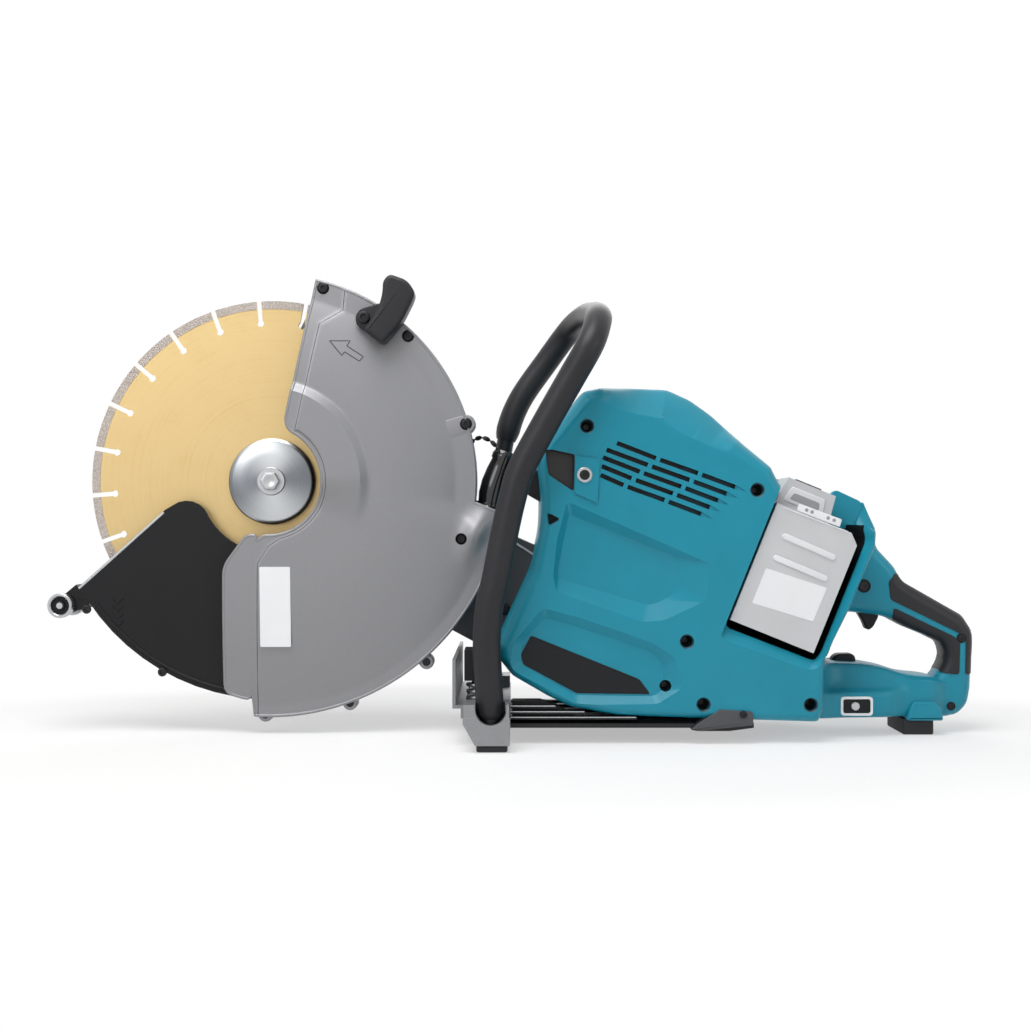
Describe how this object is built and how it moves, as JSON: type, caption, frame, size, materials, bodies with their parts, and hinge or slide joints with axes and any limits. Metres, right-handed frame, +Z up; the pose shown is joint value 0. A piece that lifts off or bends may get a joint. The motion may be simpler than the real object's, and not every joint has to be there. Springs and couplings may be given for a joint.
{
  "type": "rescue saw",
  "caption": "Battery power cutter for rescue work: guarded cutting disc on a belt-driven arm, motor body, hoop front handle, twin battery packs and trigger rear handle.",
  "frame": {"origin": "middle of the base, on the surface that the feet stand on", "axes": "+X back along the saw from the disc to the rear handle, +Y to the arm side, +Z up"},
  "size_m": [0.9, 0.262, 0.442],
  "materials": {
    "teal_plastic": "moulded, fine satin",
    "black_plastic": "moulded",
    "black_rubber": "soft matt",
    "silver_paint": "satin silver paint",
    "cast_grey": "cast",
    "bright_steel": "turned",
    "dark_steel": "black coat",
    "disc_core": "satin gold lacquer",
    "pale_plastic": "moulded",
    "winding": "enamelled wire and laminations"
  },
  "bodies": {
    "frame": {"body_shell_near": "teal_plastic", "body_shell_far": "teal_plastic", "arm_housing": "cast_grey", "arm_cover": "cast_grey", "spindle_bearing_near": "bright_steel", "spindle_bearing_far": "bright_steel", "motor_bearing_near": "bright_steel", "motor_bearing_far": "bright_steel", "stator": "winding", "motor_controller": "black_plastic", "drive_belt": "black_rubber", "front_handle_tube": "dark_steel", "front_handle_grip": "black_rubber", "front_yoke": "cast_grey", "front_foot_near": "black_rubber", "front_foot_far": "black_rubber", "damper_spring_near": "bright_steel", "damper_spring_far": "bright_steel", "spring_seat_near": "black_plastic", "spring_seat_far": "black_plastic", "deflector_plate": "silver_paint", "base_plate": "dark_steel", "base_bracket": "dark_steel", "rear_housing": "teal_plastic", "rear_handle": "teal_plastic", "rear_grip": "black_rubber", "rear_foot": "black_rubber", "control_panel": "black_plastic", "side_panel": "teal_plastic", "side_panel_screw": "bright_steel", "bay_spine": "black_plastic", "trigger_pin": "bright_steel", "trigger_switch": "black_plastic"},
    "disc": {"cutting_disc": "disc_core", "outer_flange": "bright_steel", "inner_flange": "bright_steel", "flange_bolt": "bright_steel", "spindle": "bright_steel", "driven_pulley": "dark_steel"},
    "rotor": {"motor_shaft": "bright_steel", "rotor_core": "dark_steel", "cooling_fan": "black_plastic", "drive_pulley": "dark_steel"},
    "guard": {"guard_outer_half": "silver_paint", "guard_inner_half": "silver_paint", "guard_lever": "black_rubber", "lever_screw": "dark_steel", "dust_nozzle": "black_plastic"},
    "cover": {"front_cover": "black_plastic"},
    "roller": {"roller_axle": "bright_steel", "roller_near": "bright_steel", "roller_far": "bright_steel"},
    "trigger": {"trigger": "black_plastic"},
    "lock": {"lock_button": "black_plastic"},
    "button": {"power_button": "pale_plastic"},
    "pack_near": {"battery_near": "pale_plastic"},
    "pack_far": {"battery_far": "pale_plastic"},
    "latch_near": {"latch_near": "black_plastic"},
    "latch_far": {"latch_far": "black_plastic"}
  },
  "joints": [
    {"name": "disc_spin", "type": "hinge", "parent": "frame", "child": "disc", "pos_m": [-0.235, 0, 0.245], "axis": [0, 1, 0], "continuous": true},
    {"name": "motor_spin", "type": "hinge", "parent": "frame", "child": "rotor", "pos_m": [0.07, 0, 0.095], "axis": [0, 1, 0], "continuous": true},
    {"name": "guard_tilt", "type": "hinge", "parent": "frame", "child": "guard", "pos_m": [-0.235, 0, 0.245], "axis": [0, -1, 0], "range_deg": [-20, 25]},
    {"name": "cover_swing", "type": "hinge", "parent": "guard", "child": "cover", "pos_m": [-0.235, 0, 0.245], "axis": [0, -1, 0], "range_deg": [0, 44], "stiffness_Nm_per_rad": 0.8, "springref_deg": -85.94},
    {"name": "roller_spin", "type": "hinge", "parent": "cover", "child": "roller", "pos_m": [-0.438, 0, 0.124], "axis": [0, 1, 0], "continuous": true},
    {"name": "trigger_pull", "type": "hinge", "parent": "frame", "child": "trigger", "pos_m": [0.342, 0, 0.124], "axis": [0, -1, 0], "range_deg": [0, 12], "stiffness_Nm_per_rad": 0.15, "springref_deg": -17.19},
    {"name": "lock_press", "type": "slide", "parent": "frame", "child": "lock", "axis": [0, 0, -1], "range_m": [0, 0.003], "stiffness_N_per_m": 400, "springref_m": -0.002},
    {"name": "power_press", "type": "slide", "parent": "frame", "child": "button", "axis": [0, 1, 0], "range_m": [0, 0.0012], "stiffness_N_per_m": 500, "springref_m": -0.001},
    {"name": "pack_near_slide", "type": "slide", "parent": "frame", "child": "pack_near", "axis": [0.3746, 0, 0.9272], "range_m": [0, 0.12]},
    {"name": "pack_far_slide", "type": "slide", "parent": "frame", "child": "pack_far", "axis": [0.3746, 0, 0.9272], "range_m": [0, 0.12]},
    {"name": "latch_near_press", "type": "slide", "parent": "pack_near", "child": "latch_near", "axis": [-0.3746, 0, -0.9272], "range_m": [0, 0.002], "stiffness_N_per_m": 500, "springref_m": -0.001},
    {"name": "latch_far_press", "type": "slide", "parent": "pack_far", "child": "latch_far", "axis": [-0.3746, 0, -0.9272], "range_m": [0, 0.002], "stiffness_N_per_m": 500, "springref_m": -0.001}
  ],
  "couplings": [
    {"joint": "motor_spin", "follows": "disc_spin", "ratio": 1.1538}
  ]
}
